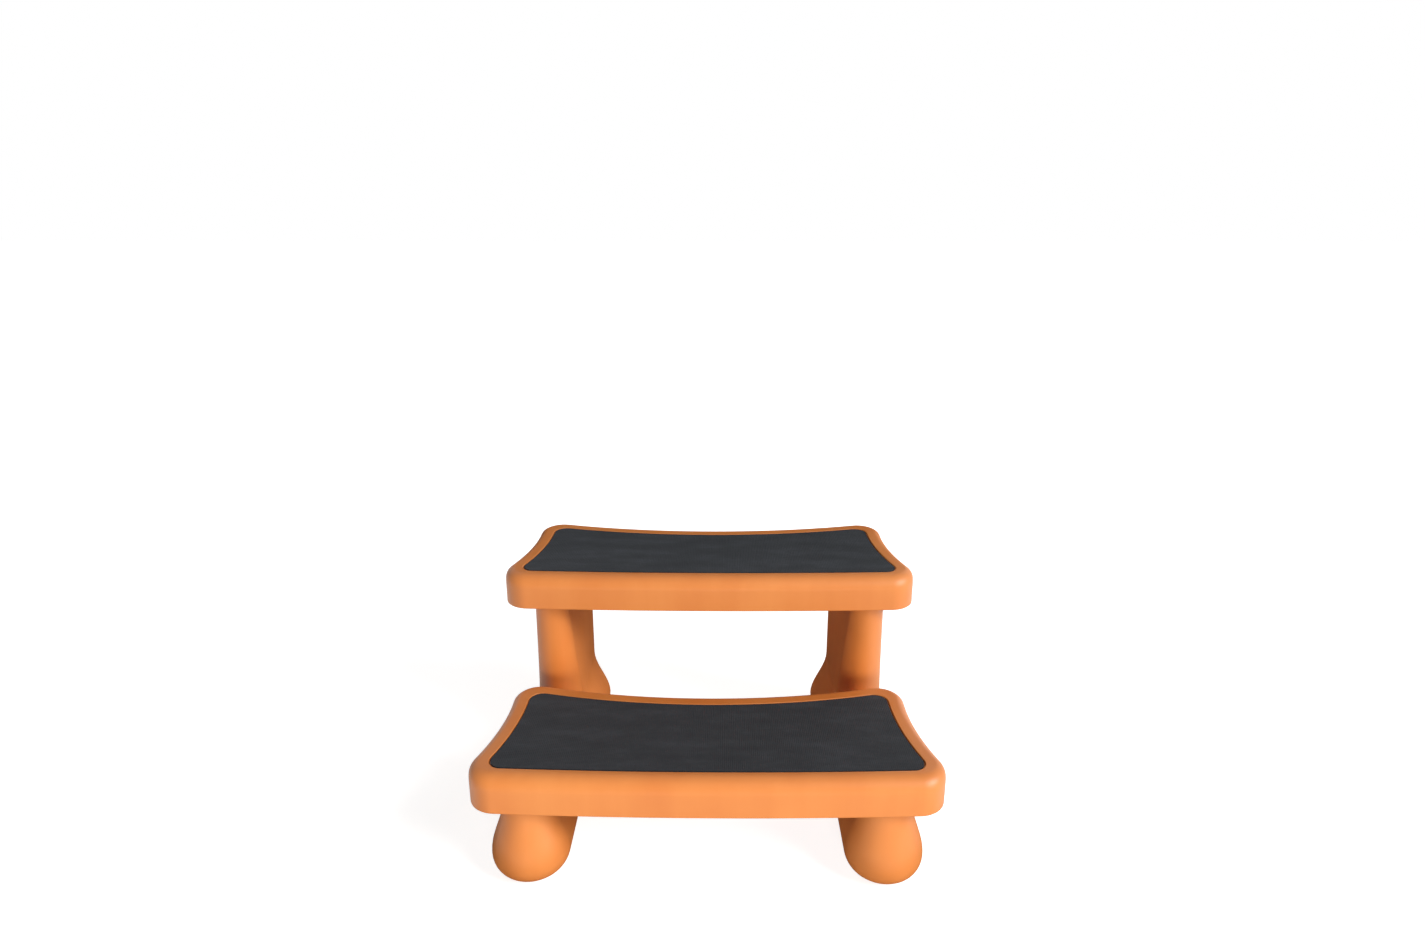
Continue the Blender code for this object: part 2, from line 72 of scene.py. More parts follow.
lampAim = Vector((0, -0.15, 0.2))
lamps = {  # bearing from the front and height in degrees, distance and size in metres, power in watts
    "keySoftbox": {"bearing": 60, "height": 32, "distance": 12.0, "size": 5.2, "power": 1230, "gloss": True},
    "frontSoftbox": {"bearing": 4, "height": 6, "distance": 2.5, "size": 0.9, "power": 39, "gloss": False},
    "backSoftbox": {"bearing": 150, "height": 16, "distance": 4.0, "size": 2.0, "power": 55, "gloss": False},
    "leftSoftbox": {"bearing": 200, "height": 10, "distance": 4.0, "size": 2.0, "power": 45, "gloss": False},
}
for lampName, lamp in lamps.items():
    bearing, height = math.radians(lamp["bearing"]), math.radians(lamp["height"])
    outward = math.cos(height)
    away = Vector((outward * math.sin(bearing), -outward * math.cos(bearing), math.sin(height)))
    bpy.ops.object.light_add(
        type="AREA",
        location=lampAim + lamp["distance"] * away,
        rotation=away.to_track_quat("Z", "Y").to_euler(),
    )
    light = bpy.context.object
    light.name = lampName
    light.data.size = lamp["size"]
    light.data.energy = lamp["power"]
    light.visible_glossy = lamp["gloss"]


def hexColour(code):  # sRGB hex to linear
    channels = [int(code[i:i + 2], 16) / 255 for i in (1, 3, 5)]
    linear = [c / 12.92 if c <= 0.04045 else ((c + 0.055) / 1.055) ** 2.4 for c in channels]
    return (*linear, 1.0)


def addNode(tree, kind, settings=None, links=None, stops=()):  # stops: places and colours on a ramp
    node = tree.nodes.new(kind)
    for key, value in (settings or {}).items():
        if isinstance(key, int) or key in node.inputs:
            node.inputs[key].default_value = value
        else:
            setattr(node, key, value)
    for key, source in (links or {}).items():
        tree.links.new(source, node.inputs[key])
    if stops:
        elements = node.color_ramp.elements
        while len(elements) < len(stops):
            elements.new(0.5)
        for element, (place, code) in zip(elements, stops):
            element.position = place
            element.color = hexColour(code)
    return node


def raysThatSee(tree):  # the camera's, and those of a reflection or of glass, but none that only light things
    path = addNode(tree, "ShaderNodeLightPath").outputs
    mirror = addNode(
        tree,
        "ShaderNodeMath",
        {"operation": "MAXIMUM"},
        {0: path["Is Glossy Ray"], 1: path["Is Transmission Ray"]},
    )
    return path["Is Camera Ray"], mirror.outputs[0]


backdrop = {
    "white": "#FFFFFF",
    "ambient": 0.03,
    "floor": "#D8D8D6",
    "floorLift": 0.80,  # round the object, where its shadow shows, and 1 further off
    "liftReach": (0.9, 2.5),  # metres
    "floorSize": 40.0,
    "shadeReach": 0.25,  # a reflection finds the floor darker this close to what stands on it
    "shadeSamples": 4,
}

world = bpy.data.worlds.new("whiteStudio")
scene.world = world
world.use_nodes = True
worldTree = world.node_tree
worldCamera, worldMirror = raysThatSee(worldTree)
worldSeen = addNode(worldTree, "ShaderNodeMath", {"operation": "MAXIMUM"}, {0: worldCamera, 1: worldMirror})
worldStrength = addNode(
    worldTree,
    "ShaderNodeMapRange",
    {"To Min": backdrop["ambient"], "To Max": 1.0},
    {"Value": worldSeen.outputs[0]},
)
worldShader = worldTree.nodes["Background"]
worldShader.inputs["Color"].default_value = hexColour(backdrop["white"])
worldTree.links.new(worldStrength.outputs[0], worldShader.inputs["Strength"])

bpy.ops.mesh.primitive_plane_add(size=backdrop["floorSize"], location=(0, 0, 0))
floor = bpy.context.object
floor.name = "floor"
floorPaint = bpy.data.materials.new("paleFloor")
floorPaint.use_nodes = True
floorTree = floorPaint.node_tree
floorTree.nodes.remove(floorTree.nodes["Principled BSDF"])
floorDiffuse = addNode(floorTree, "ShaderNodeBsdfDiffuse", {"Color": hexColour(backdrop["floor"])})
floorCamera, floorMirror = raysThatSee(floorTree)
floorShade = addNode(
    floorTree,
    "ShaderNodeAmbientOcclusion",
    {"Distance": backdrop["shadeReach"], "samples": backdrop["shadeSamples"]},
)
floorDim = addNode(
    floorTree, "ShaderNodeMath", {"operation": "MULTIPLY"}, {0: floorMirror, 1: floorShade.outputs["AO"]}
)
floorSeen = addNode(
    floorTree, "ShaderNodeMath", {"operation": "MAXIMUM"}, {0: floorCamera, 1: floorDim.outputs[0]}
)
floorCoords = addNode(floorTree, "ShaderNodeTexCoord").outputs["Object"]
floorAway = addNode(floorTree, "ShaderNodeVectorMath", {"operation": "LENGTH"}, {0: floorCoords})
floorLift = addNode(
    floorTree,
    "ShaderNodeMapRange",
    {
        "From Min": backdrop["liftReach"][0],
        "From Max": backdrop["liftReach"][1],
        "To Min": backdrop["floorLift"],
        "To Max": 1.0,
    },
    {"Value": floorAway.outputs["Value"]},
)
floorStrength = addNode(
    floorTree, "ShaderNodeMath", {"operation": "MULTIPLY"}, {0: floorSeen.outputs[0], 1: floorLift.outputs[0]}
)
floorGlow = addNode(floorTree, "ShaderNodeEmission", links={"Strength": floorStrength.outputs[0]})
floorSum = addNode(
    floorTree, "ShaderNodeAddShader", links={0: floorDiffuse.outputs[0], 1: floorGlow.outputs[0]}
)
floorTree.links.new(floorSum.outputs[0], floorTree.nodes["Material Output"].inputs["Surface"])
floor.data.materials.append(floorPaint)

# painted reflections, seen only in the gloss: a pale card behind, and dark ones low down that paint shade
# into the reflections, where white would veil the inner sides
reflectionCards = {  # place and size in metres, tilt in degrees
    # painted reflection: a pale sheet behind the steps
    "paleReflectionCard": {"colour": "#DDD3CA", "place": (0, 0.46, 1.0), "size": (5.0, 1.3), "tilt": 90},
    # painted shade: a dark sheet low behind the steps, seen only in reflections
    "lowDarkReflectionCard": {"colour": "#1E1B18", "place": (0, 0.46, 0.175), "size": (5.0, 0.35), "tilt": 90},
    # painted shade: a dark sheet on the floor under the steps, seen only in reflections
    "floorDarkReflectionCard": {"colour": "#1E1B18", "place": (0, 0.11, 0.001), "size": (0.40, 0.70), "tilt": 0},
}
cardRough = 0.9

for cardName, card in reflectionCards.items():
    bpy.ops.mesh.primitive_plane_add(
        size=1, location=card["place"], rotation=(math.radians(card["tilt"]), 0, 0), scale=(*card["size"], 1)
    )
    cardPlane = bpy.context.object
    cardPlane.name = cardName
    # each card shows in reflections alone, so it is a painted reflection, not a real part of the room
    cardPlane.visible_camera = cardPlane.visible_diffuse = cardPlane.visible_shadow = False
    cardPaint = bpy.data.materials.new(cardName + "Paint")
    cardPaint.use_nodes = True
    cardShader = cardPaint.node_tree.nodes["Principled BSDF"]
    cardShader.inputs["Base Color"].default_value = hexColour(card["colour"])
    cardShader.inputs["Roughness"].default_value = cardRough
    cardPlane.data.materials.append(cardPaint)
print("camera, lamps and floor set")


# finishes

noiseLow, noiseMiddle, noiseHigh = 0.3, 0.5, 0.7  # nearly all of a noise texture lies between the outer two

# high-density polyethylene, moulded: satin, with a fine pebble, faint clouding and upright flow streaks
hdpe = {
    "deep": "#D67B37",
    "body": "#DC833E",
    "pale": "#E28B46",
    "cloudMm": 160,
    "flowMm": (34, 34, 600),
    "flowShare": 0.3,
    "pebbleMm": 0.9,  # coarser than the real 0.3 mm, so that it shows
    "pebbleDepthMm": 0.02,
    "pebbleStrength": 0.5,
    "roughLow": 0.40,
    "roughHigh": 0.50,
    "ior": 1.62,  # polyethylene is 1.54, raised to match the sheen
}


def moulded(name, finish):
    material = bpy.data.materials.new(name)
    material.use_nodes = True
    tree = material.node_tree
    shader = tree.nodes["Principled BSDF"]
    coords = addNode(tree, "ShaderNodeTexCoord").outputs["Object"]
    clouds = addNode(
        tree, "ShaderNodeTexNoise", {"Scale": 1000 / finish["cloudMm"], "Detail": 4.0}, {"Vector": coords}
    )
    flow = addNode(
        tree, "ShaderNodeMapping", {"Scale": [1000 / size for size in finish["flowMm"]]}, {"Vector": coords}
    )
    streaks = addNode(tree, "ShaderNodeTexNoise", {"Scale": 1.0, "Detail": 2.0}, {"Vector": flow.outputs[0]})
    blend = addNode(
        tree, "ShaderNodeMix", {0: finish["flowShare"]}, {2: clouds.outputs["Fac"], 3: streaks.outputs["Fac"]}
    )
    tint = addNode(
        tree,
        "ShaderNodeValToRGB",
        links={"Fac": blend.outputs[0]},
        stops=((noiseLow, finish["deep"]), (noiseMiddle, finish["body"]), (noiseHigh, finish["pale"])),
    )
    tree.links.new(tint.outputs["Color"], shader.inputs["Base Color"])
    pebble = addNode(
        tree, "ShaderNodeTexNoise", {"Scale": 1000 / finish["pebbleMm"], "Detail": 2.0}, {"Vector": coords}
    )
    rough = addNode(
        tree,
        "ShaderNodeMapRange",
        {
            "From Min": noiseLow,
            "From Max": noiseHigh,
            "To Min": finish["roughLow"],
            "To Max": finish["roughHigh"],
        },
        {"Value": clouds.outputs["Fac"]},
    )
    tree.links.new(rough.outputs[0], shader.inputs["Roughness"])
    bump = addNode(
        tree,
        "ShaderNodeBump",
        {"Strength": finish["pebbleStrength"], "Distance": finish["pebbleDepthMm"] / 1000},
        {"Height": pebble.outputs["Fac"]},
    )
    tree.links.new(bump.outputs["Normal"], shader.inputs["Normal"])
    shader.inputs["IOR"].default_value = finish["ior"]
    return material


matRubber = {  # ribbed rubber sheet: dead matt, greyed by feet, with soft scuffs across the step
    "worn": "#3B3E43",
    "body": "#2F3236",
    "clean": "#282B2F",
    "scuffMm": (80, 30, 40),
    "grainMm": 0.7,
    "grainDepthMm": 0.03,
    "rough": 0.82,
    "ior": 1.42,  # rubber is 1.52, lowered to match a dusty, dull sheet
}
padRubber = {  # moulded rubber pad: plain black, dusty from the floor
    "worn": "#2A2A2B",
    "body": "#1D1D1E",
    "clean": "#151516",
    "scuffMm": (18, 18, 18),
    "grainMm": 0.8,
    "grainDepthMm": 0.04,
    "rough": 0.85,
    "ior": 1.52,
}
wornPlace = 0.75  # where on the noise a scuff is at its palest
grainStrength = 0.6


def rubberSheet(name, finish):
    material = bpy.data.materials.new(name)
    material.use_nodes = True
    tree = material.node_tree
    shader = tree.nodes["Principled BSDF"]
    coords = addNode(tree, "ShaderNodeTexCoord").outputs["Object"]
    stretch = addNode(
        tree, "ShaderNodeMapping", {"Scale": [1000 / size for size in finish["scuffMm"]]}, {"Vector": coords}
    )
    scuffs = addNode(
        tree,
        "ShaderNodeTexNoise",
        {"Scale": 1.0, "Detail": 6.0, "Roughness": 0.6},
        {"Vector": stretch.outputs[0]},
    )
    tint = addNode(
        tree,
        "ShaderNodeValToRGB",
        links={"Fac": scuffs.outputs["Fac"]},
        stops=((noiseLow, finish["clean"]), (noiseMiddle, finish["body"]), (wornPlace, finish["worn"])),
    )
    tree.links.new(tint.outputs["Color"], shader.inputs["Base Color"])
    grain = addNode(
        tree, "ShaderNodeTexNoise", {"Scale": 1000 / finish["grainMm"], "Detail": 2.0}, {"Vector": coords}
    )
    bump = addNode(
        tree,
        "ShaderNodeBump",
        {"Strength": grainStrength, "Distance": finish["grainDepthMm"] / 1000},
        {"Height": grain.outputs["Fac"]},
    )
    tree.links.new(bump.outputs["Normal"], shader.inputs["Normal"])
    shader.inputs["Roughness"].default_value = finish["rough"]
    shader.inputs["IOR"].default_value = finish["ior"]
    return material


screwSteel = {  # stainless steel, cold headed: bright, with a fine uneven dulling from the die
    "dull": "#8E8D8A",
    "bright": "#B9B8B5",
    "streakMm": 0.5,
    "roughLow": 0.26,
    "roughHigh": 0.42,
}


def stainless(name, finish):
    material = bpy.data.materials.new(name)
    material.use_nodes = True
    tree = material.node_tree
    shader = tree.nodes["Principled BSDF"]
    coords = addNode(tree, "ShaderNodeTexCoord").outputs["Object"]
    streaks = addNode(
        tree, "ShaderNodeTexNoise", {"Scale": 1000 / finish["streakMm"], "Detail": 3.0}, {"Vector": coords}
    )
    tint = addNode(
        tree,
        "ShaderNodeValToRGB",
        links={"Fac": streaks.outputs["Fac"]},
        stops=((noiseLow, finish["dull"]), (noiseHigh, finish["bright"])),
    )
    tree.links.new(tint.outputs["Color"], shader.inputs["Base Color"])
    rough = addNode(
        tree,
        "ShaderNodeMapRange",
        {
            "From Min": noiseLow,
            "From Max": noiseHigh,
            "To Min": finish["roughLow"],
            "To Max": finish["roughHigh"],
        },
        {"Value": streaks.outputs["Fac"]},
    )
    tree.links.new(rough.outputs[0], shader.inputs["Roughness"])
    shader.inputs["Metallic"].default_value = 1.0
    return material


orangePlastic = moulded("hdpeMouldedOrange", hdpe)
ribbedRubber = rubberSheet("rubberRibbedSheet", matRubber)
blackRubber = rubberSheet("rubberMouldedPad", padRubber)
screwFinish = stainless("stainlessColdHeaded", screwSteel)
print("finishes made")


# modelling tools

boreSteps = 40
startSize = 0.01  # of the plane that is merged to a point, so any size will do
smoothAngle = 32  # degrees; a sharper edge stays sharp
flatWeight = 60  # how much the larger faces lead in the smoothing
straightDown = -0.999  # a face whose normal has a lower z than this looks straight down


def deselect():
    if bpy.context.object and bpy.context.object.mode != "OBJECT":
        bpy.ops.object.mode_set(mode="OBJECT")
    bpy.ops.object.select_all(action="DESELECT")


def makeActive(piece):
    deselect()
    piece.select_set(True)
    bpy.context.view_layer.objects.active = piece


def startPoint(name, place):  # one loose point, to be drawn out
    deselect()
    bpy.ops.mesh.primitive_plane_add(size=startSize, location=place)
    piece = bpy.context.object
    piece.name = name
    bpy.ops.object.transform_apply(location=True, rotation=True, scale=True)
    bpy.ops.object.mode_set(mode="EDIT")
    bpy.ops.mesh.select_mode(type="VERT")
    bpy.ops.mesh.select_all(action="SELECT")
    bpy.ops.mesh.merge(type="CENTER")
    return piece


def pick(mode, test):  # what passes the test is selected, and nothing else
    bpy.ops.mesh.select_mode(type=mode)
    bpy.ops.mesh.select_all(action="DESELECT")
    mesh = bpy.context.edit_object.data
    edit = bmesh.from_edit_mesh(mesh)
    items = {"VERT": edit.verts, "EDGE": edit.edges, "FACE": edit.faces}[mode]
    for item in items:
        if test(item):
            item.select_set(True)
    edit.select_flush_mode()
    bmesh.update_edit_mesh(mesh)


def atHeight(z):
    return lambda edge: all(abs(vert.co.z - z) < near for vert in edge.verts)


def drawOut(move):
    bpy.ops.mesh.extrude_region_move(TRANSFORM_OT_translate={"value": move})


def drawProfile(profile):  # on from a point at the first of its places, each a reach in X and a height
    for (reach, z), (nextReach, nextZ) in zip(profile, profile[1:]):
        drawOut((nextReach - reach, 0, nextZ - z))
    bpy.ops.mesh.select_all(action="SELECT")


def swing(centre, turn, steps):  # spin counts clockwise turns as positive
    bpy.ops.mesh.spin(steps=steps, angle=-turn, center=centre, axis=(0, 0, 1))


def weld():
    bpy.ops.mesh.select_all(action="SELECT")
    bpy.ops.mesh.remove_doubles(threshold=near)
    bpy.ops.mesh.normals_make_consistent(inside=False)


def fillOutline(high):  # a drawn outline becomes a prism
    bpy.ops.mesh.select_all(action="SELECT")
    bpy.ops.mesh.remove_doubles(threshold=near)
    bpy.ops.mesh.edge_face_add()
    drawOut((0, 0, high))
    weld()


def applyModifier(piece, kind, **settings):
    makeActive(piece)
    modifier = piece.modifiers.new(kind.lower(), kind)
    for key, value in settings.items():
        setattr(modifier, key, value)
    bpy.ops.object.modifier_apply(modifier=modifier.name)


def cutAway(piece, cutter, operation="DIFFERENCE"):
    applyModifier(piece, "BOOLEAN", operation=operation, object=cutter, solver="EXACT")
    bpy.data.objects.remove(cutter, do_unlink=True)


def block(name, low, high):
    deselect()
    low, high = Vector(low), Vector(high)
    bpy.ops.mesh.primitive_cube_add(size=1, location=(low + high) / 2, scale=high - low)
    bpy.ops.object.transform_apply(location=True, rotation=True, scale=True)
    bpy.context.object.name = name
    return bpy.context.object


def boreX(name, start, end, y, z, radius):  # a round cutter along X
    deselect()
    bpy.ops.mesh.primitive_cylinder_add(
        vertices=boreSteps,
        radius=radius,
        depth=abs(end - start),
        location=((start + end) / 2, y, z),
        rotation=(0, math.pi / 2, 0),
    )
    bpy.ops.object.transform_apply(location=True, rotation=True, scale=True)
    bpy.context.object.name = name
    return bpy.context.object


def finishPiece(piece, material, slot, *nodes):
    makeActive(piece)
    bpy.ops.object.shade_smooth_by_angle(angle=math.radians(smoothAngle))
    applyModifier(piece, "WEIGHTED_NORMAL", keep_sharp=True, weight=flatWeight)
    piece.data.materials.clear()
    piece.data.materials.append(material)
    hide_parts(*nodes)
    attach(piece, "root")


# treads

tread = {  # metres; the outline is a chain of arcs from the middle of the front to the middle of the back
    "waistWidth": 0.672,
    "depth": 0.245,
    "waistFromBack": 0.024,
    "frontBow": 7.0,
    "frontCorner": 0.045,
    "sideCurve": 0.489,
    "rearCorner": 0.042,
    "rearHollow": 1.159,
    "flatness": 0.00005,  # how far a chord may leave its arc
    "mirrorNear": 0.0002,  # the halves of an outline are joined where their ends come this close
    "frontRound": 0.024,  # the front edge is softer than the sides and the back
    "frontRoundSteps": 5,
    "sideRound": 0.015,
    "sideRoundSteps": 8,
    "ceilingRound": 0.020,
    "ceilingRoundSteps": 6,
    "skirtRound": 0.0018,
    "skirtRoundSteps": 3,
    "wall": 0.004,
    "rim": 0.031,
    "rimFall": 0.0002,  # towards the mat; two outlines at one height would be bridged with a twist
    "recess": 0.0038,
    "recessFrontCorner": 0.019,
    "recessRearCorner": 0.020,
    "lip": 0.0009,
    "matGap": 0.0023,  # round the mat, a dark line
    "ribThickness": 0.003,
    "ribRecess": 0.008,
    "ribPitch": 0.059,
    "ribColumns": 3,  # on each side of the middle one
    "ribMargin": 0.015,  # no rib comes closer to a wall that it runs along
    "collarRecess": 0.004,
    "socketPlay": 0.0005,  # round a leg
}


def meet(first, firstRadius, second, secondRadius):  # where two circles cross, right of the line between them
    line = second - first
    along = (line.length_squared + firstRadius**2 - secondRadius**2) / (2 * line.length)
    aside = math.sqrt(firstRadius**2 - along**2)
    ahead = line.normalized()
    return first + along * ahead + aside * Vector((ahead.y, -ahead.x, 0))


def treadArcs(front, z, frontInset, sideInset, frontCorner, rearCorner):  # each: centre, radius, start, end
    sideX = tread["waistWidth"] / 2 + tread["sideCurve"]
    bow = Vector((0, front + tread["frontBow"], z))
    side = Vector((sideX, front + tread["depth"] - tread["waistFromBack"], z))
    hollow = Vector((0, front + tread["depth"] + tread["rearHollow"], z))
    bowRadius = tread["frontBow"] - frontInset
    sideRadius = tread["sideCurve"] + sideInset
    hollowRadius = tread["rearHollow"] + sideInset
    frontMiddle = meet(bow, bowRadius - frontCorner, side, sideRadius + frontCorner)
    rearMiddle = meet(hollow, hollowRadius + rearCorner, side, sideRadius + rearCorner)
    forward = Vector((0, -1, 0))
    return [
        (bow, bowRadius, forward, frontMiddle - bow),
        (frontMiddle, frontCorner, frontMiddle - bow, side - frontMiddle),
        (side, sideRadius, frontMiddle - side, rearMiddle - side),
        (rearMiddle, rearCorner, side - rearMiddle, hollow - rearMiddle),
        (hollow, hollowRadius, rearMiddle - hollow, forward),
    ]


def arcTurn(start, end):
    return -start.xy.angle_signed(end.xy)


outlineSteps = [  # the same for all outlines, so that they can be bridged
    math.ceil(abs(arcTurn(start, end)) / (2 * math.acos(1 - tread["flatness"] / radius)))
    for centre, radius, start, end in treadArcs(0, 0, 0, 0, tread["frontCorner"], tread["rearCorner"])
]


def treadLoop(name, front, z, frontInset, sideInset, frontCorner, rearCorner):
    piece = startPoint(name, (0, front + frontInset, z))
    arcs = treadArcs(front, z, frontInset, sideInset, frontCorner, rearCorner)
    for (centre, radius, start, end), steps in zip(arcs, outlineSteps):
        swing(centre, arcTurn(start, end), steps)
    bpy.ops.object.mode_set(mode="OBJECT")
    applyModifier(piece, "MIRROR", use_clip=True, merge_threshold=tread["mirrorNear"])
    return piece


def treadPrism(name, front, low, high, inset, frontCorner, rearCorner):
    piece = treadLoop(name, front, low, inset, inset, frontCorner, rearCorner)
    bpy.ops.object.mode_set(mode="EDIT")
    fillOutline(high - low)
    return piece


def roundInset(radius, drop):  # how far in a rounded edge is, this far below its top
    return radius - math.sqrt(radius**2 - max(0.0, radius - drop) ** 2)


def treadRings(front, low, high):  # outlines from the skirt up round the edge, and down into the recess
    frontRound, sideRound = tread["frontRound"], tread["sideRound"]
    frontSteps, sideSteps = tread["frontRoundSteps"], tread["sideRoundSteps"]
    sideTurn = math.pi / 2 / sideSteps
    drops = [sideRound * (1 - math.cos(step * sideTurn)) for step in range(sideSteps)]
    rest = (frontRound - sideRound) / frontSteps
    drops += [sideRound + step * rest for step in range(frontSteps + 1)]
    rings = [(low, 0, 0, tread["frontCorner"], tread["rearCorner"])]
    for drop in reversed(drops):
        frontInset, sideInset = roundInset(frontRound, drop), roundInset(sideRound, drop)
        frontCorner = tread["frontCorner"] - (frontInset + sideInset) / 2
        rings.append((high - drop, frontInset, sideInset, frontCorner, tread["rearCorner"] - sideInset))
    wallInset = tread["rim"] - tread["matGap"]
    lipInset = wallInset - tread["lip"]
    recessRings = ((tread["rimFall"], lipInset), (tread["lip"], wallInset), (tread["recess"], wallInset))
    for drop, inset in recessRings:
        wider = tread["rim"] - inset
        corners = tread["recessFrontCorner"] + wider, tread["recessRearCorner"] + wider
        rings.append((high - drop, inset, inset, *corners))
    return [treadLoop("ring", front, z, *ring) for z, *ring in rings]


def bridgeRings(name, rings):  # joined one by one, so that a ring's points are the last in the mesh
    count = len(rings[0].data.vertices)
    body = rings[0]
    body.name = name
    for ring in rings[1:]:
        makeActive(body)
        ring.select_set(True)
        bpy.ops.object.join()
        bpy.ops.object.mode_set(mode="EDIT")
        pick("VERT", lambda vert: vert.index >= len(body.data.vertices) - 2 * count)
        bpy.ops.mesh.bridge_edge_loops()
        bpy.ops.object.mode_set(mode="OBJECT")
    last = len(body.data.vertices) - count
    bpy.ops.object.mode_set(mode="EDIT")
    pick("VERT", lambda vert: vert.index < count)
    bpy.ops.mesh.edge_face_add()
    pick("VERT", lambda vert: vert.index >= last)
    bpy.ops.mesh.edge_face_add()
    weld()
    return body


legShape = {
    "thickness": 0.081,
    "setback": 0.0225,  # tread front to leg front
    "frontDepth": 0.180,
    "rearBack": 0.0205,  # the tread's back corners to the rear leg's back
    "frontBulge": 0.021,
    "rearBulge": 0.030,
    "rearBackBulge": 0.0,  # the back of a rear leg stays upright
    "innerSlim": 0.018,  # taken off the front of a rear leg just under its tread, on each side
    "outerSlim": 0.005,
    "footFlat": -0.012,
    "bulgeHeight": 0.037,
    "flareDrop": 0.0055,
    "flarePower": 1.2,
    "padInset": 0.006,
    "padProud": 0.0015,
    "padThickness": 0.0045,
    "screwSpread": 0.45,
    "footSteps": 12,
    "flareSteps": 26,
    "slimSteps": 10,
    "endSteps": 32,
}


def stadiumPrism(name, middleX, front, back, radius, low, high):  # two half circles joined by flats
    frontMiddle = Vector((middleX, front + radius, low))
    backMiddle = Vector((middleX, back - radius, low))
    piece = startPoint(name, frontMiddle + Vector((radius, 0, 0)))
    swing(frontMiddle, -math.pi, legShape["endSteps"])
    drawOut(backMiddle - frontMiddle)
    swing(backMiddle, -math.pi, legShape["endSteps"])
    fillOutline(high - low)
    return piece


def legSpace(name, leg, side, grow, low, high):  # the plain shaft of a leg, wider by this much
    front, back, radius = leg["front"] - grow, leg["back"] + grow, leg["radius"] + grow
    return stadiumPrism(name, side * leg["middleX"], front, back, radius, low, high)


screwShape = {
    "shank": 0.003,
    "headRadius": 0.006,
    "head": 0.0035,
    # the head's outline, from its middle out and down, in shares of its radius and height
    "headOutline": ((0.0, 1.0), (0.45, 0.97), (0.75, 0.85), (0.93, 0.6), (1.0, 0.3), (1.0, 0.0)),
    "spotFace": 0.0005,
    "turnSteps": 36,
    "crossLength": 0.0058,
    "crossWidth": 0.0012,
    "crossDepth": 0.0018,
}


def boreFor(piece, screw):  # a hole round the shank of a screw
    low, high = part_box(screw)
    middle = (low + high) / 2
    radius = screwShape["shank"] + seat
    if middle.x > 0:
        start, end = low.x + screwShape["head"], high.x + seat
    else:
        start, end = low.x - seat, high.x - screwShape["head"]
    cutAway(piece, boreX("bore", start, end, middle.y, middle.z, radius))


def makeTread(name, node, leg, screws):
    low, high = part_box(node)
    front = low.y
    wall, play = tread["wall"], tread["socketPlay"]
    ceiling = high.z - (tread["recess"] + wall)
    body = bridgeRings(name, treadRings(front, low.z, high.z))
    pick("EDGE", atHeight(low.z))
    bpy.ops.mesh.bevel(
        offset=tread["skirtRound"], segments=tread["skirtRoundSteps"], affect="EDGES", clamp_overlap=False
    )

    corners = tread["frontCorner"] - wall, tread["rearCorner"] - wall
    hollow = treadPrism(name + "Hollow", front, low.z - overcut, ceiling, wall, *corners)
    pick("EDGE", atHeight(ceiling))
    bpy.ops.mesh.bevel(
        offset=tread["ceilingRound"], segments=tread["ceilingRoundSteps"], affect="EDGES", clamp_overlap=False
    )
    ribLow = low.z + tread["ribRecess"]
    half = tread["ribThickness"] / 2
    for row in leg["ribRows"]:
        y = front + row
        cutAway(hollow, block("longRib", (-beyond, y - half, ribLow), (beyond, y + half, high.z)))
    for column in range(-tread["ribColumns"], tread["ribColumns"] + 1):
        x = column * tread["ribPitch"]
        ribFront, ribBack = front - beyond, front + beyond
        cutAway(hollow, block("crossRib", (x - half, ribFront, ribLow), (x + half, ribBack, high.z)))
    collarLow = low.z + tread["collarRecess"]
    for side in (-1, 1):
        cutAway(hollow, legSpace("collar", leg, side, play + wall, collarLow, high.z))
    cutAway(body, hollow)
    for side in (-1, 1):
        cutAway(body, legSpace("socket", leg, side, play, low.z - overcut, ceiling))
    for screw in screws:
        boreFor(body, screw)
    finishPiece(body, orangePlastic, "orange_plastic", node)


def legPlace(treadNode, legNode, isFront):
    treadLow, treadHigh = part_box(treadNode)
    low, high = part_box(legNode)
    front = treadLow.y + legShape["setback"]
    back = front + legShape["frontDepth"] if isFront else treadHigh.y - legShape["rearBack"]
    pitch = legShape["screwSpread"] * (back - front - legShape["thickness"])
    middle = (front + back) / 2 - treadLow.y
    ahead = int((middle - tread["ribMargin"]) / pitch)
    behind = int((tread["depth"] - tread["ribMargin"] - middle) / pitch)
    return {
        "middleX": abs(low.x + high.x) / 2,
        "radius": legShape["thickness"] / 2,
        "front": front,
        "back": back,
        "shoulder": treadLow.z,
        "top": high.z,
        "ribRows": [middle + step * pitch for step in range(-ahead, behind + 1)],
    }


hands = {"left": -1, "right": 1}
frontLeg = legPlace("lower_tread", "right_front_leg", True)
rearLeg = legPlace("upper_tread", "right_rear_leg", False)


def treadScrews(hand, level):
    return [f"{hand}_{level}_tread_screw_{row}" for row in (1, 2)]


for level, leg in (("lower", frontLeg), ("upper", rearLeg)):
    levelScrews = [screw for hand in hands for screw in treadScrews(hand, level)]
    makeTread(f"{level}TreadMoulding", f"{level}_tread", leg, levelScrews)
print("treads made")


# side rails: channels, open below

railShape = {"wall": 0.004, "round": 0.006, "roundSteps": 5}


def railBlock(name, node, grow):
    low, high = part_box(node)
    margin = Vector((grow, grow, grow))
    piece = block(name, low - margin, high + margin)
    bpy.ops.object.mode_set(mode="EDIT")
    bpy.ops.mesh.select_all(action="SELECT")
    bpy.ops.mesh.bevel(offset=railShape["round"], segments=railShape["roundSteps"], affect="EDGES")
    bpy.ops.object.mode_set(mode="OBJECT")
    return piece


def makeRail(name, node, screws):
    low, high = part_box(node)
    wall = railShape["wall"]
    piece = railBlock(name, node, 0.0)
    troughLow = low + Vector((wall, wall, -overcut))
    troughHigh = high - Vector((wall, wall, wall))
    cutAway(piece, block("trough", troughLow, troughHigh))
    for screw in screws:
        boreFor(piece, screw)
    finishPiece(piece, orangePlastic, "orange_plastic", node)


